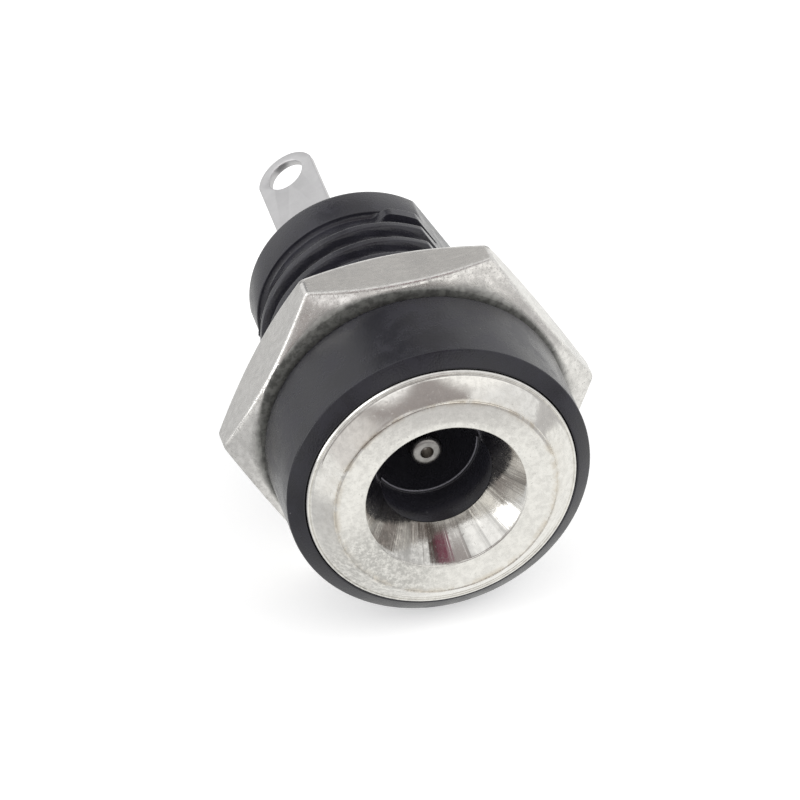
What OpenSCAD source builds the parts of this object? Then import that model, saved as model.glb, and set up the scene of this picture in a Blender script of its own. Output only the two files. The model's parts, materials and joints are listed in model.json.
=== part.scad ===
// Threaded panel-mount barrel jack for a 3.5 mm plug with a 1.3 mm centre hole.
// The plug axis runs along Y: the mouth faces -Y and the solder lugs leave towards +Y.
// Y = 0 is the face of the flange that seats on the panel. The jack lies on a flat of its nut.

/* [Flange] */
// Wall of the flange around the seat of the face ring
flange_wall = 0.58; // [0.4:0.02:2]
// Thickness of the straight wall, from the panel seat to the front bevel
flange_t = 3.45; // [2.6:0.05:5]
// Height of the front bevel that leads up to the face ring
bevel_h = 0.45; // [0.2:0.05:0.8]
// Width of the narrow land between the bevel and the face ring
rim_w = 0.06; // [0.04:0.01:0.2]
// Radius on the rear edge of the flange
seat_edge_r = 0.15; // [0.05:0.05:0.3]

/* [Threaded barrel] */
// Length of the barrel behind the panel seat
barrel_l = 9.65; // [8.5:0.05:14]
// Outside diameter over the thread crests
thread_d = 8.3; // [8.2:0.05:9]
// Distance from one thread crest to the next
pitch = 1; // [0.8:0.05:1.25]
// Depth of the thread
thread_depth = 0.45; // [0.3:0.05:0.5]
// Width of the flat land on a crest
crest_w = 0.2; // [0.1:0.02:0.3]
// Width of the flat floor of a groove, next to the collar
groove_w = 0.28; // [0.15:0.01:0.4]
// Length of the plain collar at the rear end
collar_l = 1.45; // [1:0.05:2.5]
// Diameter of the plain collar
collar_d = 7.9; // [7.7:0.05:8]
// Chamfer on the rear edge of the collar
collar_chamfer = 0.08; // [0.05:0.01:0.3]
// Distance across the two flats moulded along the barrel
flats_w = 7.3; // [7.2:0.05:7.7]
// Turn of the flats and the lugs about the plug axis, against the nut
key_turn = 29; // [0:1:60]

/* [Plug bore] */
// Diameter of the front stretch of the bore
bore_d = 4.1; // [4:0.05:4.4]
// Length of the front stretch, behind the cone of the face ring
bore_front_l = 1.8; // [1:0.1:3]
// Diameter of the guiding stretch behind it
guide_d = 3.86; // [3.8:0.01:3.96]
// Depth of the bore floor behind the panel seat
bore_depth = 5.25; // [4.5:0.05:5.6]

/* [Face ring] */
// Outside diameter of the plated ring
ring_d = 10; // [9.6:0.1:12]
// Outside diameter of the flat face of the ring
face_d = 8.2; // [7.6:0.1:8.8]
// Diameter of the mouth, where the cone begins
mouth_d = 6; // [5.4:0.1:6.6]
// Whole thickness of the ring
ring_t = 1.48; // [1.2:0.02:1.8]
// Height of the outer chamfer of the ring
chamfer_h = 0.66; // [0.4:0.02:0.9]
// Width of the narrow step outside the chamfer
lip_w = 0.09; // [0.04:0.01:0.2]
// Height of that step above the rim of the flange
lip_h = 0.07; // [0.03:0.01:0.15]
// Rounding of the edge of the mouth
mouth_edge = 0.06; // [0.02:0.01:0.12]

/* [Nut] */
// Distance across the flats
nut_af = 12; // [11.6:0.1:14]
// Thickness
nut_t = 2.2; // [1.6:0.1:3]
// Angle of the chamfer that cuts the corners of both faces
nut_chamfer_a = 30; // [15:1:35]
// Width of the flat ring left of each face inside the flats
nut_face_inset = 0.12; // [0.05:0.01:0.3]
// Chamfer at both ends of the hole
nut_countersink = 0.25; // [0.1:0.05:0.4]

/* [Centre pin] */
// Diameter
pin_d = 1.2; // [1:0.05:1.3]
// Distance from the ring's face back to the tip
pin_setback = 2.85; // [2:0.05:4]
// Rounding of the tip
tip_r = 0.16; // [0.05:0.01:0.2]
// Diameter of the hole in the tip
dimple_d = 0.44; // [0.3:0.02:0.5]
// Depth of the hole in the tip
dimple_depth = 0.5; // [0.2:0.05:1]
// Diameter of the shoulder that seats in the bore floor
shoulder_d = 2.2; // [1.8:0.1:2.6]
// Thickness of the shoulder
shoulder_t = 0.6; // [0.4:0.1:1]
// Diameter of the riveted shank
shank_d = 0.9; // [0.7:0.05:1]
// Diameter of the rivet head
rivet_d = 1.5; // [1.3:0.05:1.8]
// Height of the rivet head
rivet_h = 0.28; // [0.2:0.02:0.4]

/* [Contacts and lugs] */
// Thickness of the contact strip
strip_t = 0.3; // [0.25:0.01:0.35]
// Width of a solder lug
lug_w = 2.3; // [2.1:0.1:2.6]
// Length of the sleeve lug behind the barrel
lug_l = 4.8; // [4:0.1:7]
// How far the radius of a lug's rounded end exceeds half the lug's width
lug_end_ease = 0.03; // [0.02:0.01:0.4]
// Diameter of the eye for the wire
eye_d = 1.42; // [1:0.02:1.5]
// Distance from the lug's end to the middle of its eye
eye_back = 1.1; // [1:0.02:1.5]
// Distance from the plug axis to the middle of the sleeve lug
sleeve_lug_z = 2.95; // [2.85:0.05:3]
// Width of the contact tongue inside the barrel
tongue_w = 1.8; // [1.4:0.1:1.9]
// Radius at which the tongue touches the plug's sleeve, unloaded
touch_r = 1.6; // [1.5:0.02:1.7]
// Distance from the bore floor forward to the touching bend
touch_forward = 2.4; // [1.8:0.1:3]
// Length of the run from the strip's bend to the touching bend
ramp_l = 2.1; // [1.6:0.1:2.3]
// Length of the turned-up end in front of the touching bend
tip_l = 1.2; // [0.8:0.1:1.4]
// Rise of the turned-up end
tip_rise = 0.5; // [0.3:0.05:0.6]
// Distance from the plug axis to the pin lug
pin_lug_z = 1.55; // [1.4:0.05:1.9]
// Length of the pin lug behind the barrel
pin_lug_l = 4.4; // [3.4:0.1:5]
// Inside radius of the pin lug's bend
bend_r = 0.25; // [0.15:0.05:0.35]
// Diameter of the pin lug's foot round the rivet
foot_d = 2.1; // [1.9:0.1:2.4]

/* [Clearances] */
// Gap all round between a pressed-in piece and its seat
press_gap = 0.02; // [0.01:0.01:0.04]
// Gap round the contact strip in its channel
channel_gap = 0.04; // [0.02:0.01:0.06]
// Running gap between the thread crests and the nut
nut_gap = 0.05; // [0.03:0.01:0.09]
// Gap left between the flange and the loosely run-up nut
seat_gap = 0.28; // [0.01:0.01:0.5]

/* [Hidden] */
$fn = 96;
over = 1;

thread_r = thread_d / 2;
root_r = thread_r - thread_depth;
collar_r = collar_d / 2;
bore_r = bore_d / 2;
guide_r = guide_d / 2;
ring_r = ring_d / 2;
recess_r = ring_r + press_gap;
flange_r = recess_r + flange_wall;
pin_r = pin_d / 2;

// Stations along the axis, from the mouth to the lugs
bevel_y = -flange_t;
rim_y = bevel_y - bevel_h;
ring_face_y = rim_y - lip_h - chamfer_h;
ring_seat_y = ring_face_y + ring_t;
guide_y = ring_seat_y + bore_front_l;
pin_tip_y = ring_face_y + pin_setback;
shoulder_y = bore_depth;
shank_y = shoulder_y + shoulder_t;
collar_y = barrel_l - collar_l;
foot_y = barrel_l - strip_t;
sleeve_lug_end = barrel_l + lug_l;
pin_lug_end = barrel_l + pin_lug_l;
lug_end_r = lug_w / 2 + lug_end_ease;

// The thread: each ridge has sloping flanks on both sides of its crest
ridge_w = pitch - groove_w;
flank_w = (ridge_w - crest_w) / 2;
ridge_count = floor((collar_y - groove_w) / pitch);

// The tongue's path in the plane of the plug axis: [along the axis, away from the axis]
touch_y = bore_depth - touch_forward;
tongue_bend_y = touch_y + ramp_l;
tongue_end_y = touch_y - tip_l;
touch_z = touch_r + strip_t / 2;
tongue_path = [
    [barrel_l, sleeve_lug_z],
    [tongue_bend_y, sleeve_lug_z],
    [touch_y, touch_z],
    [tongue_end_y, touch_z + tip_rise]
];
channel_w = tongue_w + 2 * channel_gap;
channel_top = sleeve_lug_z + strip_t / 2 + channel_gap;
channel_floor = sleeve_lug_z - strip_t / 2 - channel_gap;
window_y0 = tongue_end_y - strip_t - channel_gap;
window_y1 = tongue_bend_y + strip_t;

// Direction and unit normal of a stretch of a path
function along(a, b) = (b - a) / norm(b - a);
function left_of(v) = [-v[1], v[0]];
// Side offset at point i of a path, mitred where two stretches meet
function side_at(path, i) =
    let (last = len(path) - 1)
    let (back = i > 0 ? along(path[i - 1], path[i]) : along(path[0], path[1]))
    let (ahead = i < last ? along(path[i], path[i + 1]) : back)
    let (mitre = left_of(along([0, 0], back + ahead)))
    mitre / (mitre * left_of(back));
// Outline of a strip of even thickness that follows a path
function strip_outline(path, thickness) = concat(
    [for (i = [0 : len(path) - 1]) path[i] + side_at(path, i) * thickness / 2],
    [for (i = [len(path) - 1 : -1 : 0]) path[i] - side_at(path, i) * thickness / 2]
);

// Turns an outline of [radius, y] points about the plug axis
module turned(outline) {
    rotate([-90, 0, 0])
        rotate_extrude()
            polygon(outline);
}

// Plain round stretch of a given radius from y0 to y1
module round_bar(radius, y0, y1) {
    translate([0, y0, 0])
        rotate([-90, 0, 0])
            cylinder(r = radius, h = y1 - y0);
}

// Block centred on X, from y0 to y1 and z0 to z1
module block(width, y0, y1, z0, z1) {
    translate([-width / 2, y0, z0])
        cube([width, y1 - y0, z1 - z0]);
}

// Turns what is keyed to the barrel into its place about the plug axis
module keyed() {
    rotate([0, -key_turn, 0])
        children();
}

// Outside of the moulding: bevelled flange, thread ridges and collar
module moulding_body() {
    ridges = [
        for (i = [ridge_count - 1 : -1 : 0])
            let (rear = collar_y - groove_w - i * pitch)
            each [
                [root_r, rear - ridge_w],
                [thread_r, rear - ridge_w + flank_w],
                [thread_r, rear - flank_w],
                [root_r, rear]
            ]
    ];
    turned(concat(
        [
            [0, rim_y],
            [recess_r + rim_w, rim_y],
            [flange_r, bevel_y],
            [flange_r, -seat_edge_r],
            [flange_r - seat_edge_r, 0],
            [root_r, 0]
        ],
        ridges,
        [
            [root_r, collar_y],
            [collar_r, collar_y],
            [collar_r, barrel_l - collar_chamfer],
            [collar_r - collar_chamfer, barrel_l],
            [0, barrel_l]
        ]
    ));
}

// The two flats along the barrel, where the thread runs out
module barrel_flats() {
    for (side = [-1, 1])
        translate([side * (flats_w / 2 + over), (barrel_l + over) / 2, 0])
            cube([2 * over, barrel_l + over, thread_d + over], center = true);
}

// Recess of the face ring, the stepped plug bore and the seat of the pin
module plug_bore() {
    round_bar(recess_r, rim_y - over, ring_seat_y);
    round_bar(bore_r, ring_seat_y - over, guide_y);
    round_bar(guide_r, guide_y - over, bore_depth);
    round_bar(shoulder_d / 2 + press_gap, bore_depth - over, shank_y);
    round_bar(shank_d / 2 + press_gap, shank_y - over, barrel_l + over);
}

// Channel of the sleeve contact, with its window into the bore
module contact_channel() {
    block(channel_w, window_y1 - over, barrel_l + over, channel_floor, channel_top);
    block(channel_w, window_y0, window_y1, 0, channel_top);
}

// Pocket in the rear face that keeps the pin lug's foot from turning
module foot_pocket(gap) {
    round_bar(foot_d / 2 + gap, foot_y, barrel_l + over);
    block(lug_w + 2 * gap, foot_y, barrel_l + over, -pin_lug_z - strip_t - gap, 0);
}

module housing() {
    color([0.13, 0.13, 0.14])
        keyed()
            difference() {
                moulding_body();
                barrel_flats();
                plug_bore();
                contact_channel();
                foot_pocket(channel_gap);
            }
}

module face_ring() {
    color([0.8, 0.8, 0.79])
        turned([
            [bore_r, ring_seat_y],
            [mouth_d / 2 - mouth_edge / 2, ring_face_y + mouth_edge],
            [mouth_d / 2 + mouth_edge / 2, ring_face_y],
            [face_d / 2, ring_face_y],
            [ring_r - lip_w, rim_y - lip_h],
            [ring_r - lip_h / 2, rim_y - lip_h],
            [ring_r, rim_y - lip_h / 2],
            [ring_r, ring_seat_y]
        ]);
}

// Cone frustums that cut the corners of both faces of the nut
module nut_envelope() {
    face_r = nut_af / 2 - nut_face_inset;
    corner_r = nut_af / 2 / cos(30) + nut_face_inset;
    cut = (corner_r - face_r) * tan(nut_chamfer_a);
    turned([
        [0, seat_gap],
        [face_r, seat_gap],
        [corner_r, seat_gap + cut],
        [corner_r, seat_gap + nut_t - cut],
        [face_r, seat_gap + nut_t],
        [0, seat_gap + nut_t]
    ]);
}

// Clear hole over the thread crests, countersunk at both ends
module nut_hole() {
    hole_r = thread_r + nut_gap;
    turned([
        [0, seat_gap - over],
        [hole_r + nut_countersink + over, seat_gap - over],
        [hole_r, seat_gap + nut_countersink],
        [hole_r, seat_gap + nut_t - nut_countersink],
        [hole_r + nut_countersink + over, seat_gap + nut_t + over],
        [0, seat_gap + nut_t + over]
    ]);
}

module hex_nut() {
    color([0.78, 0.77, 0.75])
        difference() {
            intersection() {
                translate([0, seat_gap, 0])
                    rotate([-90, 0, 0])
                        cylinder(d = nut_af / cos(30), h = nut_t, $fn = 6);
                nut_envelope();
            }
            nut_hole();
        }
}

// Turned pin: rounded tip with a hole, shoulder, shank and rivet head
module centre_pin() {
    color([0.75, 0.74, 0.7])
        difference() {
            union() {
                tip_centre_y = pin_tip_y + tip_r;
                rotate([-90, 0, 0])
                    rotate_extrude() {
                        translate([pin_r - tip_r, tip_centre_y])
                            circle(r = tip_r);
                        translate([0, pin_tip_y])
                            square([pin_r - tip_r, tip_r]);
                        translate([0, tip_centre_y])
                            square([pin_r, shoulder_y - tip_centre_y]);
                    }
                round_bar(shoulder_d / 2, shoulder_y, shank_y);
                round_bar(shank_d / 2, shank_y - over / 4, barrel_l + over / 8);
                round_bar(rivet_d / 2, barrel_l, barrel_l + rivet_h);
            }
            round_bar(dimple_d / 2, pin_tip_y - over, pin_tip_y + dimple_depth);
        }
}

// Flat outline of a lug with a rounded end and an eye, lying along Y from y0 to y1
module lug_outline(y0, y1) {
    difference() {
        intersection() {
            translate([-lug_w / 2, y0])
                square([lug_w, y1 - y0]);
            union() {
                translate([-lug_w / 2, y0])
                    square([lug_w, y1 - y0 - lug_end_r]);
                translate([0, y1 - lug_end_r])
                    circle(r = lug_end_r);
            }
        }
        translate([0, y1 - eye_back])
            circle(d = eye_d);
    }
}

// Rivet foot in its pocket, bent square into the lug of the pin
module pin_lug() {
    bend_y = foot_y + strip_t + bend_r;
    bend_z = -pin_lug_z + bend_r;
    color([0.66, 0.66, 0.66])
        keyed()
            difference() {
                union() {
                    round_bar(foot_d / 2, foot_y, barrel_l);
                    block(lug_w, foot_y, barrel_l, bend_z, 0);
                    translate([0, 0, -pin_lug_z - strip_t])
                        linear_extrude(height = strip_t)
                            lug_outline(bend_y, pin_lug_end);
                    // Quarter bend between the foot and the lug
                    intersection() {
                        block(lug_w, foot_y, bend_y, -pin_lug_z - strip_t, bend_z);
                        translate([-lug_w / 2, bend_y, bend_z])
                            rotate([0, 90, 0])
                                difference() {
                                    cylinder(r = bend_r + strip_t, h = lug_w);
                                    translate([0, 0, -over])
                                        cylinder(r = bend_r, h = lug_w + 2 * over);
                                }
                    }
                }
                round_bar(shank_d / 2 + press_gap, foot_y - over, barrel_l + over);
            }
}

// Stamped sleeve contact: spring tongue in the bore and solder lug behind the barrel
module sleeve_contact() {
    color([0.66, 0.66, 0.66])
        keyed() {
            translate([-tongue_w / 2, 0, 0])
                rotate([90, 0, 90])
                    linear_extrude(height = tongue_w)
                        polygon(strip_outline(tongue_path, strip_t));
            translate([0, 0, sleeve_lug_z - strip_t / 2])
                linear_extrude(height = strip_t)
                    lug_outline(barrel_l, sleeve_lug_end);
        }
}

housing();
face_ring();
hex_nut();
centre_pin();
pin_lug();
sleeve_contact();
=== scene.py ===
"""Dressed model of a threaded panel-mount barrel jack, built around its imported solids."""

import json
import math

import bmesh
import bpy
from bpy.props import FloatProperty, FloatVectorProperty, PointerProperty
from mathutils import Matrix, Vector


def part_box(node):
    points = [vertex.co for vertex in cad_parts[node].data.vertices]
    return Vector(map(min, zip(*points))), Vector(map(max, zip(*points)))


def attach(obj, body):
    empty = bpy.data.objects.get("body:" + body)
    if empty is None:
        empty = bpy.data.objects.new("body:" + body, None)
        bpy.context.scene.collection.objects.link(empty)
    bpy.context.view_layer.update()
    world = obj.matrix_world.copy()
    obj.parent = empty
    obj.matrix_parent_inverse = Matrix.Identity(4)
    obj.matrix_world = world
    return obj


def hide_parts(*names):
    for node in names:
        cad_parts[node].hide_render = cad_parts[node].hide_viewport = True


bl_info = {
    "name": "Threaded Barrel Jack",
    "version": (1, 0, 0),
    "blender": (4, 5, 0),
    "location": "3D View > Sidebar > Barrel Jack",
    "description": "Dresses the packed solids of a panel-mount barrel jack",
    "category": "Object",
}

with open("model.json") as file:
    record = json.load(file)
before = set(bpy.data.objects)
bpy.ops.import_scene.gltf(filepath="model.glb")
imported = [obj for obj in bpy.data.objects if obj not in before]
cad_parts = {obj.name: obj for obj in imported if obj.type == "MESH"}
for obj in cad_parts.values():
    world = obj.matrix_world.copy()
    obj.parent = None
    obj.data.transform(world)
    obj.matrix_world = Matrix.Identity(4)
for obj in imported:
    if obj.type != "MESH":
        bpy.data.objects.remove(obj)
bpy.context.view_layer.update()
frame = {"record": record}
RECORD = frame["record"]

# The parts are modelled in millimetres and turned into metres when they are finished.
MM = 0.001
# The flats and the lugs are keyed together, turned about the plug axis against the nut.
KEY_TURN = math.radians(29)
KEY = Matrix.Rotation(-KEY_TURN, 4, "Y")


def reach(node, axis):
    """Lowest and highest coordinate of a CAD node along an axis, in millimetres."""
    low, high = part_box(node)
    return low[axis] / MM, high[axis] / MM


RIM_Y, BARREL_END = reach("housing", 1)
RING_FACE, RING_SEAT = reach("face_ring", 1)
NUT_FRONT, NUT_REAR = reach("hex_nut", 1)
PIN_TIP, RIVET_END = reach("centre_pin", 1)
SLEEVE_LUG_END = reach("sleeve_contact", 1)[1]
PIN_LUG_END = reach("pin_lug", 1)[1]
FLANGE_R = reach("housing", 0)[1]
RING_R = reach("face_ring", 0)[1]
NUT_FLAT = reach("hex_nut", 2)[1]
PIN_SHOULDER_R = reach("centre_pin", 0)[1]


def length(name, description, default_mm, low_mm=0.0):
    """A length that a user can change, shown in the scene's units."""
    return FloatProperty(name=name, description=description, default=default_mm * MM,
                         min=low_mm * MM, unit="LENGTH", precision=5)


def colour(name, description, default):
    """A colour that a user can change."""
    return FloatVectorProperty(name=name, description=description, default=default,
                               min=0, max=1, size=3, subtype="COLOR")


# ---------------------------------------------------------------- settings

class HousingSettings(bpy.types.PropertyGroup):
    """The black moulding: flange, threaded barrel and plug bore"""
    flange_radius: length("Flange Radius", "Outer radius of the flange", FLANGE_R)
    bevel_height: length("Bevel Height", "Height of the front bevel", 0.37)
    recess_radius: length("Recess Radius", "Seat of the face ring", RING_R + 0.02)
    root_radius: length("Root Radius", "Radius at the bottom of the thread", 3.7)
    crest_radius: length("Crest Radius", "Radius over the thread crests", 4.15)
    pitch: length("Pitch", "Distance from one thread crest to the next", 1.0, 0.3)
    first_crest: length("First Crest", "Where the thread starts behind the flange", 1.1)
    relief: length("Thread Relief", "Plain groove between the thread and the collar", 0.5)
    collar_radius: length("Collar Radius", "Radius of the plain rear collar", 3.95)
    collar_length: length("Collar Length", "Length of the plain rear collar", 1.45)
    flat_distance: length("Flat Distance", "Distance from the axis to each flat", 3.65)
    seat_edge: length("Seat Edge", "Rounding of the flange's rear edge", 0.15)
    bore_radius: length("Bore Radius", "Radius of the front stretch of the bore", 2.05)
    bore_step: length("Bore Step", "Length of the front stretch behind the ring", 1.8)
    guide_radius: length("Guide Radius", "Radius of the bore behind the step", 1.93)
    bore_floor: length("Bore Floor", "Depth of the bore behind the panel seat", 5.25)
    black: colour("Plastic", "Colour of the moulding", (0.0120, 0.0115, 0.0180))


class FaceRingSettings(bpy.types.PropertyGroup):
    """The turned, plated ring in front of the flange"""
    face_radius: length("Face Radius", "Outer radius of the flat face", 4.1)
    mouth_radius: length("Mouth Radius", "Where the cone begins", 3.0)
    throat_radius: length("Throat Radius", "Where the cone meets the bore", 2.05)
    lip_width: length("Lip Width", "Narrow step outside the chamfer", 0.2)
    lip_height: length("Lip Height", "Height of that step above the rim", 0.1)
    nickel: colour("Nickel", "Colour of the plating", (0.80, 0.785, 0.75))


class NutSettings(bpy.types.PropertyGroup):
    """The hexagon nut, chamfered on both faces"""
    flat_distance: length("Flat Distance", "Half the size across the flats", NUT_FLAT)
    face_inset: length("Face Inset", "From the flats in to the front face", 0.12)
    rear_inset: length("Rear Inset", "From the flats in to the rear face", 0.22)
    hole_radius: length("Hole Radius", "Radius of the threaded hole", 4.2)
    corner_radius: length("Corner Radius", "Rounding of the six upright corners", 0.25)
    front_edge: length("Front Edge", "Rounding between the sides and the front chamfer", 0.2)
    rear_edge: length("Rear Edge", "Rounding between the sides and the rear chamfer", 0.28)
    chamfer: FloatProperty(name="Chamfer", description="Angle of the chamfer to the face",
                           default=math.radians(30), subtype="ANGLE")
    nickel: colour("Nickel", "Colour of the plating", (0.78, 0.765, 0.74))


class ContactSettings(bpy.types.PropertyGroup):
    """The centre pin, its lug and the sleeve contact"""
    pin_radius: length("Pin Radius", "Radius of the centre pin", 0.6)
    tip_rounding: length("Tip Rounding", "Rounding of the pin's tip", 0.22)
    dimple_radius: length("Dimple Radius", "Hole in the pin's tip", 0.22)
    shank_radius: length("Shank Radius", "Riveted shank behind the shoulder", 0.45)
    strip: length("Strip Thickness", "Sheet that the contacts are stamped from", 0.3)
    lug_width: length("Lug Width", "Width of a solder lug", 2.3)
    end_radius: length("End Radius", "Rounded end of a lug", 1.18)
    eye_radius: length("Eye Radius", "Eye for the wire", 0.71)
    eye_back: length("Eye Distance", "From a lug's end to the middle of its eye", 1.1)
    sleeve_height: length("Sleeve Height", "From the axis to the sleeve lug", 2.95)
    tongue_width: length("Tongue Width", "Width of the spring tongue", 1.8)
    pin_lug_height: length("Pin Lug Height", "From the axis to the pin lug", 1.55)
    foot_radius: length("Foot Radius", "Foot of the pin lug around the rivet", 1.05)
    bend_radius: length("Bend Radius", "Inside radius of the pin lug's bend", 0.25)
    bright: colour("Bright Plating", "Colour of the pin", (0.37, 0.36, 0.35))
    dull: colour("Dull Plating", "Colour of the lugs", (0.63, 0.625, 0.63))


class StudioSettings(bpy.types.PropertyGroup):
    """Camera, light and floor"""
    azimuth: FloatProperty(name="Azimuth", description="Camera's turn about the object",
                           default=math.radians(-11.52), subtype="ANGLE")
    elevation: FloatProperty(name="Elevation", description="Camera's height angle",
                             default=math.radians(35.49), subtype="ANGLE")
    roll: FloatProperty(name="Roll", description="Camera's turn about its own axis",
                        default=math.radians(-4.12), subtype="ANGLE")
    distance: length("Distance", "From the camera to the point that it looks at", 289.1)
    target: FloatVectorProperty(name="Target", description="Point that the camera looks at",
                                default=(-0.33 * MM, 0.80 * MM, 0.66 * MM), size=3,
                                subtype="TRANSLATION", unit="LENGTH", precision=5)
    lens: FloatProperty(name="Focal Length", description="Focal length in millimetres",
                        default=360, unit="CAMERA")
    floor: colour("Floor", "Colour of the floor", (0.88, 0.88, 0.88))


GROUPS = {
    "jack_housing": HousingSettings,
    "jack_ring": FaceRingSettings,
    "jack_nut": NutSettings,
    "jack_contacts": ContactSettings,
    "jack_studio": StudioSettings,
}


def settings(name):
    """A settings group as plain numbers, with its lengths in millimetres."""
    group = getattr(bpy.context.scene, name)
    values = {}
    for prop in group.bl_rna.properties:
        if prop.identifier in ("rna_type", "name"):
            continue
        value = getattr(group, prop.identifier)
        if prop.type == "FLOAT" and prop.unit == "LENGTH":
            value = Vector(value) / MM if prop.array_length else value / MM
        values[prop.identifier] = value
    return values


# ---------------------------------------------------------------- modelling

def rounded(outline, steps=3):
    """Points (radius, y) of an outline whose points may carry a third value, a rounding."""
    done = []
    for i, point in enumerate(outline):
        here = Vector(point[:2])
        if len(point) == 2:
            done.append(here)
            continue
        back = Vector(outline[i - 1][:2]) - here
        ahead = Vector(outline[(i + 1) % len(outline)][:2]) - here
        cut = point[2] / math.tan(back.angle(ahead) / 2)
        start = here + back.normalized() * cut
        end = here + ahead.normalized() * cut
        for step in range(steps + 1):
            t = step / steps
            done.append(start.lerp(here, t).lerp(here.lerp(end, t), t))
    return done


def turned(bm, points, steps, closed=True):
    """Turns an outline of (radius, y) points about the plug axis into a closed shell."""
    verts = [bm.verts.new((x, y, 0)) for x, y in points]
    pairs = zip(verts, verts[1:] + verts[:1]) if closed else zip(verts, verts[1:])
    edges = [bm.edges.new(pair) for pair in pairs]
    bmesh.ops.spin(bm, geom=verts + edges, cent=(0, 0, 0), axis=(0, 1, 0), dvec=(0, 0, 0),
                   angle=math.tau, steps=steps, use_merge=True)
    bmesh.ops.remove_doubles(bm, verts=bm.verts, dist=1e-5)
    bmesh.ops.dissolve_degenerate(bm, edges=bm.edges, dist=1e-6)
    bmesh.ops.recalc_face_normals(bm, faces=bm.faces)


def eased(bm, width, angle):
    """Breaks every edge that is sharper than the angle, as a deburred edge is."""
    limit = math.radians(angle)
    edges = [e for e in bm.edges if len(e.link_faces) == 2 and e.calc_face_angle(0) > limit]
    bmesh.ops.bevel(bm, geom=edges, offset=width, offset_type="OFFSET", segments=2,
                    profile=0.5, affect="EDGES", clamp_overlap=True, material=-1)


def smoothstep(low, high, value):
    """Rises smoothly from 0 at the low value to 1 at the high one."""
    t = min(max((value - low) / (high - low), 0), 1)
    return t * t * (3 - 2 * t)


def body_of(node):
    """The body that a CAD node rides on."""
    for body, nodes in RECORD["behaviour"]["bodies"].items():
        if node in nodes:
            return body
    raise RuntimeError(f"no body carries {node}")


def link_mesh(name, bm):
    """Turns a bmesh into an object of the scene."""
    mesh = bpy.data.meshes.new(name)
    bm.to_mesh(mesh)
    bm.free()
    mesh.shade_smooth()
    piece = bpy.data.objects.new(name, mesh)
    bpy.context.scene.collection.objects.link(piece)
    return piece


def baked(piece):
    """Applies the piece's modifiers to its mesh."""
    graph = bpy.context.evaluated_depsgraph_get()
    mesh = bpy.data.meshes.new_from_object(piece.evaluated_get(graph))
    piece.modifiers.clear()
    piece.data = mesh


def tag(piece, name, value_of):
    """Stores a value from 0 to 1 at each vertex, worked out from its radius and y."""
    layer = piece.data.attributes.new(name, "FLOAT", "POINT")
    for v, item in zip(piece.data.vertices, layer.data):
        item.value = min(max(value_of(math.hypot(v.co.x, v.co.z), v.co.y), 0), 1)


def fitted(piece, node, material):
    """Brings a finished piece from millimetres to metres and puts it in its node's place."""
    piece.data.transform(Matrix.Scale(MM, 4))
    piece.data.shade_smooth()
    piece.data.materials.clear()
    piece.data.materials.append(material)
    shading = piece.modifiers.new("Face weighted normals", "WEIGHTED_NORMAL")
    shading.mode = "FACE_AREA"
    shading.weight = 80
    shading.keep_sharp = True
    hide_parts(node)
    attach(piece, body_of(node))
    return piece


# ---------------------------------------------------------------- shader groups

def new_group(name, inputs, outputs):
    """An empty shader group with its sockets, as (tree, input node, output node)."""
    tree = bpy.data.node_groups.new(name, "ShaderNodeTree")
    for label, kind, default in inputs:
        socket = tree.interface.new_socket(label, in_out="INPUT", socket_type=kind)
        if default is not None:
            socket.default_value = default
    for label, kind in outputs:
        tree.interface.new_socket(label, in_out="OUTPUT", socket_type=kind)
    return tree, tree.nodes.new("NodeGroupInput"), tree.nodes.new("NodeGroupOutput")


def noise(tree, vector, scale, detail=3.0, roughness=0.55, distortion=0.0):
    """A noise texture on a vector; the scale is a socket or a number."""
    node = tree.nodes.new("ShaderNodeTexNoise")
    node.inputs["Detail"].default_value = detail
    node.inputs["Roughness"].default_value = roughness
    node.inputs["Distortion"].default_value = distortion
    tree.links.new(vector, node.inputs["Vector"])
    if isinstance(scale, (int, float)):
        node.inputs["Scale"].default_value = scale
    else:
        tree.links.new(scale, node.inputs["Scale"])
    return node.outputs["Fac"]


def ranged(tree, value, low, high, out_low=0.0, out_high=1.0, smooth=True):
    """Maps a value from one range to another."""
    node = tree.nodes.new("ShaderNodeMapRange")
    node.interpolation_type = "SMOOTHSTEP" if smooth else "LINEAR"
    for label, number in (("From Min", low), ("From Max", high),
                          ("To Min", out_low), ("To Max", out_high)):
        node.inputs[label].default_value = number
    tree.links.new(value, node.inputs["Value"])
    return node.outputs["Result"]


def maths(tree, operation, first, second=None):
    """One maths node; each value is a socket or a number."""
    node = tree.nodes.new("ShaderNodeMath")
    node.operation = operation
    for socket, value in zip(node.inputs, (first, second)):
        if value is None:
            continue
        if isinstance(value, (int, float)):
            socket.default_value = value
        else:
            tree.links.new(value, socket)
    return node.outputs["Value"]


def vector_maths(tree, operation, first, second=None):
    """One vector maths node on a socket; the second value is a vector."""
    node = tree.nodes.new("ShaderNodeVectorMath")
    node.operation = operation
    tree.links.new(first, node.inputs[0])
    if second is not None:
        node.inputs[1].default_value = second
    return node.outputs["Value" if operation in ("DOT_PRODUCT", "DISTANCE") else "Vector"]


def blended(tree, factor, first, second):
    """Mixes two colours; each is a socket or a tuple."""
    node = tree.nodes.new("ShaderNodeMix")
    node.data_type = "RGBA"
    tree.links.new(factor, node.inputs["Factor"])
    for socket, value in ((node.inputs[6], first), (node.inputs[7], second)):
        if isinstance(value, tuple):
            socket.default_value = value
        else:
            tree.links.new(value, socket)
    return node.outputs[2]


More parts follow.
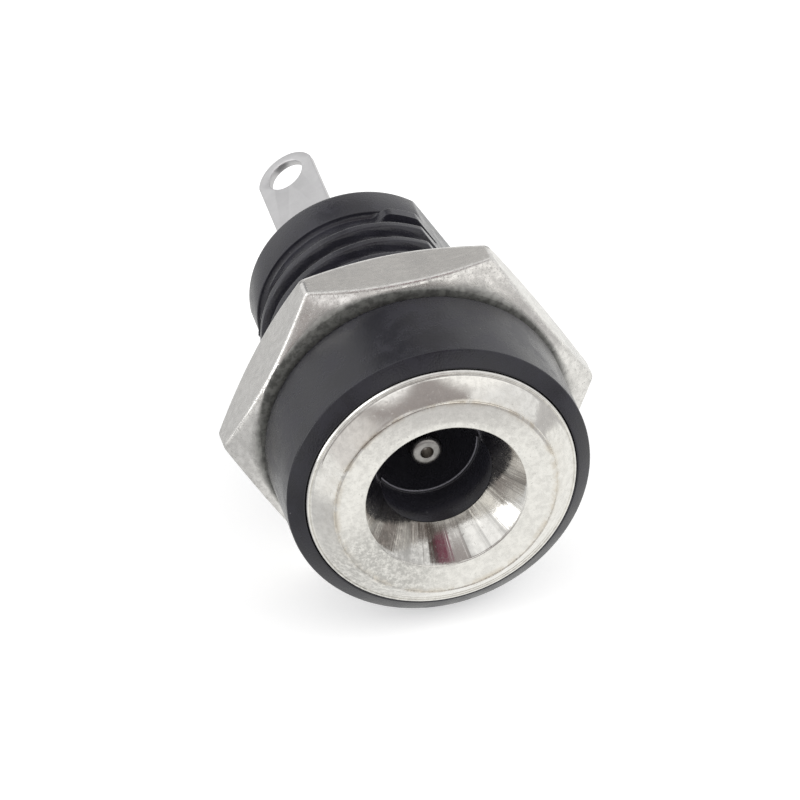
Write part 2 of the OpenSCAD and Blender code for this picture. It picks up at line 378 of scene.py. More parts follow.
def plating_group():
    """Barrel-plated nickel: faint clouds, with pits that crowd where the edges wear."""
    tree, start, end = new_group(
        "Plating Mottle",
        [("Vector", "NodeSocketVector", None), ("Wear", "NodeSocketFloat", 0.0),
         ("Cloud Scale", "NodeSocketFloat", 2600.0), ("Pit Scale", "NodeSocketFloat", 9000.0)],
        [("Cloud", "NodeSocketFloat"), ("Pits", "NodeSocketFloat"),
         ("Relief", "NodeSocketFloat")])
    vector, wear = start.outputs["Vector"], start.outputs["Wear"]
    cloud = noise(tree, vector, start.outputs["Cloud Scale"], 6, 0.68, 0.3)
    fine = noise(tree, vector, start.outputs["Pit Scale"], 4, 0.7)
    # Wear lowers the height at which the fine noise becomes a pit.
    level = maths(tree, "ADD", fine, maths(tree, "MULTIPLY", wear, 0.12))
    pits = ranged(tree, level, 0.62, 0.74)
    cloudy = ranged(tree, cloud, 0.33, 0.67)
    relief = maths(tree, "SUBTRACT", maths(tree, "MULTIPLY", cloud, 0.5),
                   maths(tree, "MULTIPLY", pits, 0.6))
    tree.links.new(cloudy, end.inputs["Cloud"])
    tree.links.new(pits, end.inputs["Pits"])
    tree.links.new(relief, end.inputs["Relief"])
    return tree


def grain_group():
    """Fine grain of a moulded or rolled surface, with a faint bloom of dust."""
    tree, start, end = new_group(
        "Surface Grain",
        [("Vector", "NodeSocketVector", None), ("Grain Scale", "NodeSocketFloat", 14000.0),
         ("Bloom Scale", "NodeSocketFloat", 900.0)],
        [("Bloom", "NodeSocketFloat"), ("Height", "NodeSocketFloat"),
         ("Dust", "NodeSocketFloat")])
    vector = start.outputs["Vector"]
    bloom = noise(tree, vector, start.outputs["Bloom Scale"], 5, 0.65)
    grain = noise(tree, vector, start.outputs["Grain Scale"], 2, 0.5)
    specks = noise(tree, vector, 5200.0, 2, 0.5)
    tree.links.new(ranged(tree, specks, 0.75, 0.80), end.inputs["Dust"])
    tree.links.new(ranged(tree, bloom, 0.35, 0.7), end.inputs["Bloom"])
    tree.links.new(grain, end.inputs["Height"])
    return tree


def group_node(tree, group, vector, **values):
    """Places a shader group in a material."""
    node = tree.nodes.new("ShaderNodeGroup")
    node.node_tree = bpy.data.node_groups[group]
    tree.links.new(vector, node.inputs["Vector"])
    for label, value in values.items():
        node.inputs[label.replace("_", " ")].default_value = value
    return node


def new_material(name):
    """A material with its tree, its Principled shader and object coordinates."""
    material = bpy.data.materials.new(name)
    material.use_nodes = True
    tree = material.node_tree
    shader = tree.nodes["Principled BSDF"]
    place = tree.nodes.new("ShaderNodeTexCoord").outputs["Object"]
    return material, tree, shader, place


def bumped(tree, shader, height, distance, strength=1.0):
    """Feeds a height in metres into the shader's normal."""
    bump = tree.nodes.new("ShaderNodeBump")
    bump.inputs["Distance"].default_value = distance
    bump.inputs["Strength"].default_value = strength
    tree.links.new(height, bump.inputs["Height"])
    tree.links.new(bump.outputs["Normal"], shader.inputs["Normal"])


def shade_of(rgb, factor):
    """A colour as RGBA, lightened or darkened."""
    return tuple(min(c * factor, 1.0) for c in rgb) + (1.0,)


# ---------------------------------------------------------------- pieces

def thread_radius(s, y, turn):
    """Radius of the right-handed thread at a place along and around the barrel."""
    collar = BARREL_END - s["collar_length"]
    along = (y - collar) / s["pitch"] - turn / math.tau
    off_crest = abs((along + 0.68) % 1 - 0.5) * s["pitch"]
    height = 1 - smoothstep(0.13, 0.30, off_crest)
    height *= smoothstep(s["first_crest"] - 0.35, s["first_crest"], y)
    height *= 1 - smoothstep(collar - s["relief"] - 0.1, collar - s["relief"], y)
    # The last groove runs out into the collar just before each flat.
    from_flat = math.degrees(turn - math.pi / 2 + KEY_TURN) % 180 - 180
    if y > collar - s["relief"]:
        height = max(height, smoothstep(-52, -44, from_flat))
    return s["root_radius"] + (s["crest_radius"] - s["root_radius"]) * height


def housing_outline(s):
    """Half section of the moulding, with plain rows where the thread is cut later."""
    collar = BARREL_END - s["collar_length"]
    rows = int(round((collar - 0.1) / s["pitch"] * 20))
    root = s["root_radius"]
    thread = [(root, (collar - 0.06) * (1 - i / rows) + 0.06 * i / rows)
              for i in range(rows + 1)]
    return rounded([
        (0.47, BARREL_END),
        (s["collar_radius"], BARREL_END, 0.12),
        (s["collar_radius"], collar, 0.05),
    ]) + [Vector(p) for p in thread] + rounded([
        (root, 0.0),
        (s["flange_radius"], 0.0, s["seat_edge"]),
        (s["flange_radius"], RIM_Y + s["bevel_height"], 0.1),
        (s["recess_radius"] + 0.06, RIM_Y, 0.03),
        (s["recess_radius"], RIM_Y, 0.02),
        (s["recess_radius"], RING_SEAT),
        (s["bore_radius"], RING_SEAT),
        (s["bore_radius"], RING_SEAT + s["bore_step"], 0.03),
        (s["guide_radius"], RING_SEAT + s["bore_step"], 0.05),
        (s["guide_radius"], s["bore_floor"]),
        (PIN_SHOULDER_R + 0.02, s["bore_floor"]),
        (PIN_SHOULDER_R + 0.02, s["bore_floor"] + 0.6),
        (0.47, s["bore_floor"] + 0.6),
    ])


def carve(piece, cutters):
    """Cuts pockets out of a piece; each cutter is a bmesh."""
    tools = []
    for bm in cutters:
        bmesh.ops.transform(bm, matrix=KEY, verts=bm.verts)
        tools.append(link_mesh("pocket_cutter", bm))
        cut = piece.modifiers.new("Pocket", "BOOLEAN")
        cut.operation = "DIFFERENCE"
        cut.solver = "EXACT"
        cut.object = tools[-1]
    bpy.context.view_layer.update()
    baked(piece)
    for tool in tools:
        bpy.data.objects.remove(tool)


def block(width, y0, y1, z0, z1):
    """Block centred on X, as a bmesh."""
    bm = bmesh.new()
    size = Matrix.Diagonal((width, y1 - y0, z1 - z0, 1))
    place = Matrix.Translation((0, (y0 + y1) / 2, (z0 + z1) / 2))
    bmesh.ops.create_cube(bm, size=1, matrix=place @ size)
    return bm


def disc(radius, y0, y1):
    """Round plug along the axis, as a bmesh."""
    bm = bmesh.new()
    place = Matrix.Translation((0, (y0 + y1) / 2, 0)) @ Matrix.Rotation(math.pi / 2, 4, "X")
    bmesh.ops.create_cone(bm, cap_ends=True, segments=64, radius1=radius, radius2=radius,
                          depth=y1 - y0, matrix=place)
    return bm


def build_housing():
    """Turns the moulding, winds the thread round it, then cuts its flats and pockets."""
    s, c = settings("jack_housing"), settings("jack_contacts")
    bm = bmesh.new()
    turned(bm, housing_outline(s), 192)
    collar = BARREL_END - s["collar_length"]
    for v in bm.verts:
        radius = math.hypot(v.co.x, v.co.z)
        if 0.05 < v.co.y < collar - 0.05 and abs(radius - s["root_radius"]) < 0.01:
            grow = thread_radius(s, v.co.y, math.atan2(v.co.x, v.co.z)) / radius
            v.co.x *= grow
            v.co.z *= grow
    # The flats: the barrel is cut along each flat's plane and pressed down onto it.
    past_bore = 3.0

    def on_barrel(v):
        """True on the barrel's outer skin, behind the flange's face and outside the bore."""
        radius = math.hypot(v.co.x, v.co.z)
        return v.co.y > -1e-4 and past_bore < radius < s["crest_radius"] + 0.3

    for side in (1, -1):
        outward = KEY @ Vector((side, 0, 0))
        skin = [f for f in bm.faces if all(on_barrel(v) for v in f.verts)]
        geometry = list({x for f in skin for x in (*f.verts, *f.edges)}) + skin
        bmesh.ops.bisect_plane(bm, geom=geometry, dist=1e-5, plane_no=outward,
                               plane_co=outward * s["flat_distance"])
        for v in bm.verts:
            proud = v.co.dot(outward) - s["flat_distance"]
            if proud > 0 and on_barrel(v):
                v.co -= outward * proud
    bmesh.ops.dissolve_degenerate(bm, edges=bm.edges, dist=1e-5)
    bmesh.ops.recalc_face_normals(bm, faces=bm.faces)
    piece = link_mesh("moulded_housing", bm)
    gap = 0.04
    height, half = c["sleeve_height"], c["strip"] / 2 + gap
    foot = BARREL_END - c["strip"]
    carve(piece, [
        block(c["tongue_width"] + 2 * gap, s["bore_floor"] - 1, BARREL_END + 1,
              height - half, height + half),
        block(c["tongue_width"] + 2 * gap, s["bore_floor"] - 3.94, s["bore_floor"],
              0.5, height + half),
        block(c["lug_width"] + 2 * gap, foot, BARREL_END + 1,
              -c["pin_lug_height"] - c["strip"] - gap, 0),
        disc(c["foot_radius"] + gap, foot, BARREL_END + 1),
    ])
    step = RING_SEAT + s["bore_step"]
    # Painted light: the shaded walls and floor of the bore are lightened, and the edge of the
    # bore's step gets a painted highlight. Behind the flange the small value marks the barrel
    # for the scraped flats and lightens it faintly.
    tag(piece, "rubbed", lambda r, y: max(
        0.03 * (y > 0.01), 0.065 * (RING_SEAT < y < s["bore_floor"] + 0.01 and r < 2.1),
        0.25 * (abs(y - s["bore_floor"]) < 0.01 and r < 2.1),
        0.85 * (abs(y - step) < 0.03 and r < s["guide_radius"] + 0.04)))
    fitted(piece, "housing", black_moulding(s["black"], s["flat_distance"]))
    # The outside keeps crisp edges; those of the bore are soft.
    piece.data.set_sharp_from_angle(angle=math.radians(75))
    soft = (s["bore_radius"] + 0.05) * MM
    for edge in piece.data.edges:
        ends = [piece.data.vertices[i].co for i in edge.vertices]
        if all(math.hypot(co.x, co.z) < soft and co.y < (s["bore_floor"] + 0.1) * MM
               for co in ends):
            edge.use_edge_sharp = False


def build_face_ring():
    """Turns the plated ring: grooved lip, chamfer, flat face, rounded mouth and cone."""
    s = settings("jack_ring")
    lip, w = RIM_Y - s["lip_height"], s["lip_width"]
    face, mouth = s["face_radius"], s["mouth_radius"]
    bm = bmesh.new()
    # The cone swells a little between its throat and its mouth.
    throat, seat, swell = s["throat_radius"], RING_SEAT - 0.04, 0.02
    cone = [(throat + (mouth - throat) * t - 3.3 * swell * t * (1 - t),
             seat + (RING_FACE - seat) * t - 2.2 * swell * t * (1 - t))
            for t in (0.1, 0.2, 0.35, 0.5, 0.65, 0.8, 0.9)]
    turned(bm, rounded([
        (throat, RING_SEAT), (throat, seat, 0.02), *cone,
        (mouth, RING_FACE, 0.11),
        (mouth + 0.3, RING_FACE), (face - 0.24, RING_FACE), (face - 0.12, RING_FACE),
        (face - 0.04, RING_FACE),
        (face, RING_FACE + 0.03, 0.015), (face + 0.035, RING_FACE - 0.004, 0.02),
        (face + 0.12, RING_FACE + 0.075),
        (RING_R - w - 0.05, lip - 0.045), (RING_R - w, lip - 0.015, 0.02),
        (RING_R - w * 0.75, lip - 0.005, 0.01), (RING_R - w * 0.64, lip + 0.04, 0.01),
        (RING_R - w * 0.53, lip, 0.015), (RING_R - 0.05, lip, 0.02), (RING_R, lip + 0.11),
        (RING_R, RING_SEAT),
    ], 4), 256)
    piece = link_mesh("turned_face_ring", bm)
    tag(piece, "wear", lambda r, y: max(
        1 - abs(r - face) / 0.07, 0.4 * (1 - abs(r - mouth) / 0.1)))
    tag(piece, "cone", lambda r, y: (r < mouth - 0.03) * 1.0)
    tag(piece, "stain", lambda r, y: 1 - abs(r - face + 0.04) / 0.2)
    fitted(piece, "face_ring", ring_nickel(s["nickel"]))


def hexagon(s, turn):
    """Distance from the axis to the nut's side at an angle, with its corners rounded."""
    off_flat = (turn + math.pi / 6) % (math.pi / 3) - math.pi / 6
    straight = s["flat_distance"] / math.cos(off_flat)
    # Near a corner the side follows a small round that touches both flats.
    r = s["corner_radius"]
    centre = (s["flat_distance"] - r) / math.cos(math.pi / 6)
    off_corner = math.pi / 6 - abs(off_flat)
    if centre * math.cos(math.pi / 6 - off_corner) < 0:
        return straight
    touch = math.atan2(r * math.sin(math.pi / 6), centre + r * math.cos(math.pi / 6))
    if off_corner > touch:
        return straight
    across = centre * math.sin(off_corner)
    return centre * math.cos(off_corner) + math.sqrt(r * r - across * across)


def nut_section(s, edge, land=0.0):
    """Half section of the nut whose side is at a distance from the axis, with wear marks.

    The land is how far the flat front face stops short of its full radius.
    """
    slope = math.tan(s["chamfer"])
    front_face = s["flat_distance"] - s["face_inset"]
    rear_face = s["flat_distance"] - s["rear_inset"]
    low = NUT_FRONT + (edge - front_face) * slope
    front_face -= land
    high = NUT_REAR - (edge - rear_face) * slope
    hole, sink = s["hole_radius"], 0.25
    side = [(edge, low + (high - low) * t) for t in (0.14, 0.24, 0.4, 0.5, 0.6, 0.76, 0.84)]
    points = rounded([
        (hole, NUT_FRONT + sink), (hole + sink, NUT_FRONT), (front_face - 0.15, NUT_FRONT),
        (front_face, NUT_FRONT, 0.1),
        (front_face * 0.6 + edge * 0.4, NUT_FRONT * 0.6 + low * 0.4),
        (edge, low, s["front_edge"]), *side, (edge, high, s["rear_edge"]),
        (rear_face, NUT_REAR, 0.1), (hole + sink, NUT_REAR), (hole, NUT_REAR - sink)], 4)
    worn = []
    for p in points:
        from_edge = math.hypot(p.x - edge, p.y - low)
        from_rear = math.hypot(p.x - edge, p.y - high)
        on_face = 0.8 - abs(p.x - front_face) / 0.15 if p.y < low else 0
        worn.append(max(1 - from_edge / 0.35, 0.7 - from_rear / 0.3, on_face, 0))
    return points, worn


def build_nut():
    """Turns a washer, then draws each of its columns out to the hexagon's section."""
    s = settings("jack_nut")
    sections, places = {}, nut_section(s, s["flat_distance"])[0]
    bm = bmesh.new()
    turned(bm, places, 432)
    wear = bm.verts.layers.float.new("wear")
    film = bm.verts.layers.float.new("film")
    corner = math.pi / 6
    wide_side, narrowing = math.radians(130), 0.24
    for v in bm.verts:
        radius = math.hypot(v.co.x, v.co.z)
        row = min(range(len(places)), key=lambda i: abs(places[i].x - radius)
                  + abs(places[i].y - v.co.y))
        # The columns crowd towards the six corners, which sit at 0, 60, ... degrees.
        turn = math.atan2(v.co.z, v.co.x)
        nearest = round(turn / (2 * corner)) * 2 * corner
        off = (turn - nearest) / corner
        turn = nearest + math.copysign(abs(off) ** 1.5, off) * corner
        edge = hexagon(s, turn + math.pi / 2)
        # The chamfer is cut a little off centre, so the front face is widest on one side.
        aside = abs((turn - wide_side + math.pi) % math.tau - math.pi)
        land = round(narrowing * smoothstep(math.radians(18), math.radians(52), aside), 3)
        key = (round(edge, 5), land)
        if key not in sections:
            sections[key] = nut_section(s, edge, land)
        points, worn = sections[key]
        v.co = (points[row].x * math.cos(turn), points[row].y, points[row].x * math.sin(turn))
        near_corner = 1 - abs(turn - nearest) / math.radians(4)
        side = s["flat_distance"] - 0.1 < points[row].x
        v[wear] = max(worn[row], 0.6 * near_corner if side else 0)
        # The seat face inside this edge is marked for the painted shade of the gap behind the
        # flange.
        seat_edge = s["flat_distance"] - s["face_inset"] - land + 0.03
        v[film] = points[row].x < seat_edge and points[row].y < NUT_FRONT + 0.3
    bmesh.ops.remove_doubles(bm, verts=bm.verts, dist=1e-5)
    bmesh.ops.recalc_face_normals(bm, faces=bm.faces)
    fitted(link_mesh("chamfered_hex_nut", bm), "hex_nut", nut_nickel(s["nickel"]))


def build_centre_pin():
    """Turns the pin: drilled and rounded tip, shoulder, shank and domed rivet head."""
    s = settings("jack_contacts")
    pin, dimple, shank = s["pin_radius"], s["dimple_radius"], s["shank_radius"]
    seat = settings("jack_housing")["bore_floor"]
    bm = bmesh.new()
    turned(bm, rounded([
        (0, PIN_TIP + 0.5), (dimple, PIN_TIP + 0.4), (dimple, PIN_TIP, 0.05),
        (pin, PIN_TIP, s["tip_rounding"]), (pin, seat), (PIN_SHOULDER_R, seat),
        (PIN_SHOULDER_R, seat + 0.6), (shank, seat + 0.6), (shank, BARREL_END),
        (0.75, BARREL_END), (0.75, BARREL_END + 0.08, 0.05), (0.42, RIVET_END, 0.2),
        (0, RIVET_END)], 5), 96, closed=False)
    piece = link_mesh("drilled_centre_pin", bm)
    tag(piece, "bore", lambda r, y: (r < dimple + 0.01 and y < PIN_TIP + 0.6) * 1.0)
    fitted(piece, "centre_pin", pin_nickel(s["bright"]))


def swept(bm, vert, y, angle, steps):
    """Sweeps a vertex about a point on the blank's middle line and returns the last one."""
    arc = bmesh.ops.spin(bm, geom=[vert], cent=(0, y, 0), axis=(0, 0, 1), dvec=(0, 0, 0),
                         angle=angle, steps=steps, use_merge=False)
    return next(v for v in arc["geom_last"] if isinstance(v, bmesh.types.BMVert))


def lug_blank(bm, s, end, start):
    """Wire outline of a lug's rounded end with its eye; returns its two open ends."""
    half = s["lug_width"] / 2
    centre = end - s["end_radius"]
    lean = math.asin(half / s["end_radius"])
    first = bm.verts.new((half, centre + s["end_radius"] * math.cos(lean), 0))
    last = swept(bm, first, centre, 2 * lean, 24)
    bmesh.ops.create_circle(bm, cap_ends=False, radius=s["eye_radius"], segments=56,
                            matrix=Matrix.Translation((0, end - s["eye_back"], 0)))
    right = bm.verts.new((half, start, 0))
    left = bm.verts.new((-half, start, 0))
    bm.edges.new((first, right))
    bm.edges.new((last, left))
    return right, left


def chain(bm, verts):
    """Joins vertices by edges, one after another."""
    for pair in zip(verts, verts[1:]):
        bm.edges.new(pair)


def bent_strip(bm, path, thickness, seam):
    """Fills a flat blank, bends it along a path that starts at y = seam, and thickens it.

    The path is a list of (y, z) points, and the blank in front of the seam follows it.
    """
    bmesh.ops.triangle_fill(bm, edges=bm.edges, use_beauty=True, normal=(0, 0, 1))
    lengths = [0.0]
    for a, b in zip(path, path[1:]):
        lengths.append(lengths[-1] + (b - a).length)
    for length_so_far in lengths[:-1]:
        everything = list(bm.verts) + list(bm.edges) + list(bm.faces)
        bmesh.ops.bisect_plane(bm, geom=everything, dist=1e-5,
                               plane_co=(0, seam - length_so_far, 0), plane_no=(0, 1, 0))
    for v in bm.verts:
        run = seam - v.co.y
        if run <= 0:
            v.co.z = path[0].y
            continue
        i = max(k for k in range(len(path) - 1) if lengths[k] <= run + 1e-6)
        share = (run - lengths[i]) / (lengths[i + 1] - lengths[i])
        v.co.y, v.co.z = path[i].lerp(path[i + 1], share)
    bmesh.ops.recalc_face_normals(bm, faces=bm.faces)
    bmesh.ops.solidify(bm, geom=bm.faces[:], thickness=thickness)
    bmesh.ops.recalc_face_normals(bm, faces=bm.faces)
    eased(bm, 0.03, 60)
    bmesh.ops.transform(bm, matrix=KEY, verts=bm.verts)


def build_sleeve_contact():
    """Stamps the sleeve contact: solder lug behind the barrel, spring tongue in the bore."""
    s = settings("jack_contacts")
    bm = bmesh.new()
    right, left = lug_blank(bm, s, SLEEVE_LUG_END, BARREL_END + 0.02)
    half = s["tongue_width"] / 2
    seam = settings("jack_housing")["bore_floor"] + 0.3
    path = rounded([(seam, s["sleeve_height"]), (seam - 0.6, s["sleeve_height"], 0.6),
                    (seam - 2.7, 1.75, 0.4), (seam - 3.9, 2.25)], 5)
    run = sum((b - a).length for a, b in zip(path, path[1:]))
    tongue = [bm.verts.new((x, y, 0)) for x, y in (
        (half, BARREL_END + 0.02), (half, seam - run), (-half, seam - run),
        (-half, BARREL_END + 0.02))]
    chain(bm, [right, *tongue, left])
    bent_strip(bm, [p + Vector((0, s["strip"] / 2)) for p in path], s["strip"], seam)
    piece = link_mesh("stamped_sleeve_contact", bm)
    fitted(piece, "sleeve_contact", lug_plating("Sleeve lug plating", s["dull"]))


def build_pin_lug():
    """Stamps the pin lug and bends it square from its foot around the rivet."""
    s = settings("jack_contacts")
    strip, bend = s["strip"], s["bend_radius"] + s["strip"]
    foot_y = BARREL_END - strip
    low = -s["pin_lug_height"] - strip
    seam = foot_y + bend
    centre = Vector((seam, low + bend))
    arc = [centre + Vector((-math.sin(t), -math.cos(t))) * bend
           for t in (math.pi / 2 * i / 8 for i in range(9))]
    top = s["foot_radius"]
    path = arc + [Vector((foot_y, top))]
    run = sum((b - a).length for a, b in zip(path, path[1:]))
    hub = seam - run + top
    bm = bmesh.new()
    right, left = lug_blank(bm, s, PIN_LUG_END, hub)
    first = bm.verts.new((top, hub, 0))
    last = swept(bm, first, hub, -math.pi, 28)
    chain(bm, [right, first])
    chain(bm, [last, left])
    bmesh.ops.create_circle(bm, cap_ends=False, radius=0.47, segments=40,
                            matrix=Matrix.Translation((0, hub, 0)))
    bent_strip(bm, path, strip, seam)
    piece = link_mesh("bent_pin_lug", bm)
    fitted(piece, "pin_lug", lug_plating("Pin lug plating", s["dull"]))


# ---------------------------------------------------------------- materials

def black_moulding(rgb, flat_distance):
    """Satin black thermoplastic with a fine mould grain, a faint bloom, stray dust and painted
    light in the bore.
    """
    material, tree, shader, place = new_material("Black moulding")
    grain = group_node(tree, "Surface Grain", place)
    tint = blended(tree, grain.outputs["Bloom"], shade_of(rgb, 0.85), shade_of(rgb, 1.5))
    dusty = blended(tree, grain.outputs["Dust"], tint, (0.16, 0.16, 0.17, 1))
    # The two flats are scraped lighter where they leave the mould.
    across = vector_maths(tree, "DOT_PRODUCT", place, KEY @ Vector((1, 0, 0)))
    off = maths(tree, "ABSOLUTE", maths(
        tree, "SUBTRACT", maths(tree, "ABSOLUTE", across), flat_distance * MM))
    rubbed = attribute(tree, "rubbed")
    worn = maths(tree, "MULTIPLY", ranged(tree, off, 0.00004, 0.00002),
                 ranged(tree, grain.outputs["Bloom"], 0, 1, 0.6, 1))
    worn = maths(tree, "MULTIPLY", worn, ranged(tree, rubbed, 0.01, 0.02))
    # Painted light: this grey lifts the shaded bore and paints the highlight on the bore's
    # step.
    lighter = blended(tree, rubbed, dusty, (0.5, 0.49, 0.55, 1))
    scraped = blended(tree, worn, lighter, (0.13, 0.13, 0.14, 1))
    tree.links.new(scraped, shader.inputs["Base Color"])
    rough = ranged(tree, grain.outputs["Bloom"], 0, 1, 0.2, 0.34)
    tree.links.new(rough, shader.inputs["Roughness"])
    shader.inputs["Specular IOR Level"].default_value = 0.5
    bumped(tree, shader, grain.outputs["Height"], 1.2e-5, 0.7)
    return material


def attribute(tree, name):
    """A value stored on the mesh."""
    node = tree.nodes.new("ShaderNodeAttribute")
    node.attribute_name = name
    return node.outputs["Fac"]


def nickel(name, rgb, smooth, worn, relief, wear=None, stretch=(1, 1, 1), depth=0.9,
           **scales):
    """Nickel plating between a smooth and a worn roughness, with mottled relief."""
    material, tree, shader, place = new_material(name)
    shader.inputs["Metallic"].default_value = 1.0
    mapping = tree.nodes.new("ShaderNodeMapping")
    mapping.inputs["Scale"].default_value = stretch
    tree.links.new(place, mapping.inputs["Vector"])
    mottle = group_node(tree, "Plating Mottle", mapping.outputs["Vector"], **scales)
    if wear:
        tree.links.new(attribute(tree, wear), mottle.inputs["Wear"])
    clouded = blended(tree, mottle.outputs["Cloud"], shade_of(rgb, 1.06), shade_of(rgb, depth))
    pitted = blended(tree, maths(tree, "MULTIPLY", mottle.outputs["Pits"], 0.45), clouded,
                     shade_of(rgb, 0.45))
    tree.links.new(pitted, shader.inputs["Base Color"])
    rough = ranged(tree, mottle.outputs["Cloud"], 0, 1, smooth, worn, smooth=False)
    tree.links.new(rough, shader.inputs["Roughness"])
    bumped(tree, shader, mottle.outputs["Relief"], relief)
    return material


def plated(material):
    """The tree of a nickel material, its shader and its colour so far."""
    tree = material.node_tree
    shader = tree.nodes["Principled BSDF"]
    return tree, shader, shader.inputs["Base Color"].links[0].from_socket


def raised(tree, height, factor):
    """Adds a further height to what the material's bump already has."""
    socket = tree.nodes["Bump"].inputs["Height"]
    relief = socket.links[0].from_socket
    tree.links.new(maths(tree, "ADD", relief, maths(tree, "MULTIPLY", height, factor)), socket)


def ring_nickel(rgb):
    """Nickel on turned brass: the cone has painted reflection streaks, and the face is stained
    and darker in a patch on its lower left.
    """
    material = nickel("Ring nickel", rgb, 0.06, 0.18, 3e-6, "wear", Cloud_Scale=4200.0)
    tree, shader, colour_so_far = plated(material)
    place = tree.nodes["Texture Coordinate"].outputs["Object"]
    cone = attribute(tree, "cone")
    # Painted reflection: dark streaks change around the axis and not along the cone, as the
    # mirrored room does in a turned cone.
    around = vector_maths(tree, "NORMALIZE", vector_maths(tree, "MULTIPLY", place, (1, 0, 1)))
    streaks = noise(tree, around, 4.5, 4, 0.6)
    dark = maths(tree, "MULTIPLY", cone, ranged(tree, streaks, 0.52, 0.36, 0, 0.55))
    with_painted_streaks = blended(tree, dark, colour_so_far, shade_of(rgb, 0.3))
    # Stains crowd at the edge of the face, and a noisy patch on its lower left is darker.
    spot = vector_maths(tree, "DISTANCE", place, (-0.0026, RING_FACE * MM, -0.0027))
    blotch = noise(tree, place, 1300.0, 5, 0.7, 0.4)
    dark_patch = maths(tree, "MULTIPLY", ranged(tree, spot, 0.0034, 0.0008),
                  ranged(tree, noise(tree, place, 5200.0, 4, 0.75), 0.36, 0.60, 0.1, 0.8))
    rim = maths(tree, "MULTIPLY", attribute(tree, "stain"), ranged(tree, blotch, 0.4, 0.6))
    stained = blended(tree, maths(tree, "MULTIPLY", rim, 0.55), with_painted_streaks,
                      (0.55, 0.47, 0.36, 1))
    with_dark_patch = blended(tree, dark_patch, stained, shade_of(rgb, 0.5))
    tree.links.new(with_dark_patch, shader.inputs["Base Color"])
    raised(tree, maths(tree, "MULTIPLY", cone, streaks), 9.0)
    return material


def nut_nickel(rgb):
    """Barrel-plated nickel; its front face, which seats on the panel, is a dull grey that
    paints the shade in the gap behind the flange.
    """
    material = nickel("Nut nickel", rgb, 0.16, 0.32, 5e-6, "wear", (1, 2.0, 1), 0.84,
                      Cloud_Scale=3400.0, Pit_Scale=11000.0)
    tree, shader, colour_so_far = plated(material)
    # Painted shade: the seat face becomes a dull, less metallic grey that stands in for the
    # shade in the gap behind the flange.
    film = attribute(tree, "film")
    rough = shader.inputs["Roughness"].links[0].from_socket
    grey = blended(tree, ranged(tree, rough, 0.16, 0.32), (0.30, 0.30, 0.28, 1),
                   (0.15, 0.148, 0.14, 1))
    tree.links.new(blended(tree, film, colour_so_far, grey), shader.inputs["Base Color"])
    tree.links.new(maths(tree, "MAXIMUM", rough, maths(tree, "MULTIPLY", film, 0.55)),
                   shader.inputs["Roughness"])
    tree.links.new(ranged(tree, film, 0, 1, 1, 0.3), shader.inputs["Metallic"])
    # The sides are a little uneven, as stamped ones are.
    waves = noise(tree, tree.nodes["Texture Coordinate"].outputs["Object"], 330.0, 1, 0.4)
    raised(tree, waves, 36.0)
    return material


def pin_nickel(rgb):
    """Bright nickel outside, dark inside the drilled hole."""
    material = nickel("Pin nickel", rgb, 0.26, 0.4, 6e-6)
    tree, shader, colour_so_far = plated(material)
    drilled = blended(tree, attribute(tree, "bore"), colour_so_far, (0.34, 0.32, 0.30, 1))
    tree.links.new(drilled, shader.inputs["Base Color"])
    return material


def lug_plating(name, rgb):
    """Dull tin on rolled strip."""
    material, tree, shader, place = new_material(name)
    shader.inputs["Metallic"].default_value = 1.0
    grain = group_node(tree, "Surface Grain", place, Grain_Scale=9000.0)
    tint = blended(tree, grain.outputs["Bloom"], shade_of(rgb, 0.96), shade_of(rgb, 1.05))
    tree.links.new(tint, shader.inputs["Base Color"])
    shader.inputs["Roughness"].default_value = 0.45
    bumped(tree, shader, grain.outputs["Height"], 8e-6, 0.4)
    return material


# ---------------------------------------------------------------- studio

def aim(direction_to, distance):
    """Matrix of a lamp at a distance along a direction, facing the object."""
    place = Vector(direction_to).normalized() * distance
    return place, place.to_track_quat("Z", "Y")


def soft_lamp(name, direction, distance, size, power):
    """A white area lamp that looks at the object."""
    lamp = bpy.data.lights.new(name, "AREA")
    lamp.shape = "RECTANGLE"
    lamp.size, lamp.size_y = size
    lamp.energy = power
    holder = bpy.data.objects.new(name, lamp)
    bpy.context.scene.collection.objects.link(holder)
    holder.location, turn = aim(direction, distance)
    holder.rotation_mode = "QUATERNION"
    holder.rotation_quaternion = turn
    # What the metal mirrors is the graded room, so the lamp itself isn't seen in it.
    holder.visible_glossy = False


def build_camera(s):
    """Puts the camera at its view and makes it the scene's."""
    a, e, roll = s["azimuth"], s["elevation"], s["roll"]
    right = Vector((math.cos(a), math.sin(a), 0))
    up = Vector((-math.sin(a) * math.sin(e), math.cos(a) * math.sin(e), math.cos(e)))
    forward = Vector((-math.sin(a) * math.cos(e), math.cos(a) * math.cos(e), -math.sin(e)))
    across = right * math.cos(roll) + up * math.sin(roll)
    upward = up * math.cos(roll) - right * math.sin(roll)
    camera = bpy.data.objects.new("Camera", bpy.data.cameras.new("Camera"))
    camera.data.lens = s["lens"]
    camera.data.sensor_width = 36
    camera.data.clip_start = 0.01
    bpy.context.scene.collection.objects.link(camera)
    place = (s["target"] - forward * s["distance"]) * MM
    turn = Matrix((across, upward, -forward)).transposed().to_4x4()
    camera.matrix_world = Matrix.Translation(place) @ turn
    bpy.context.scene.camera = camera


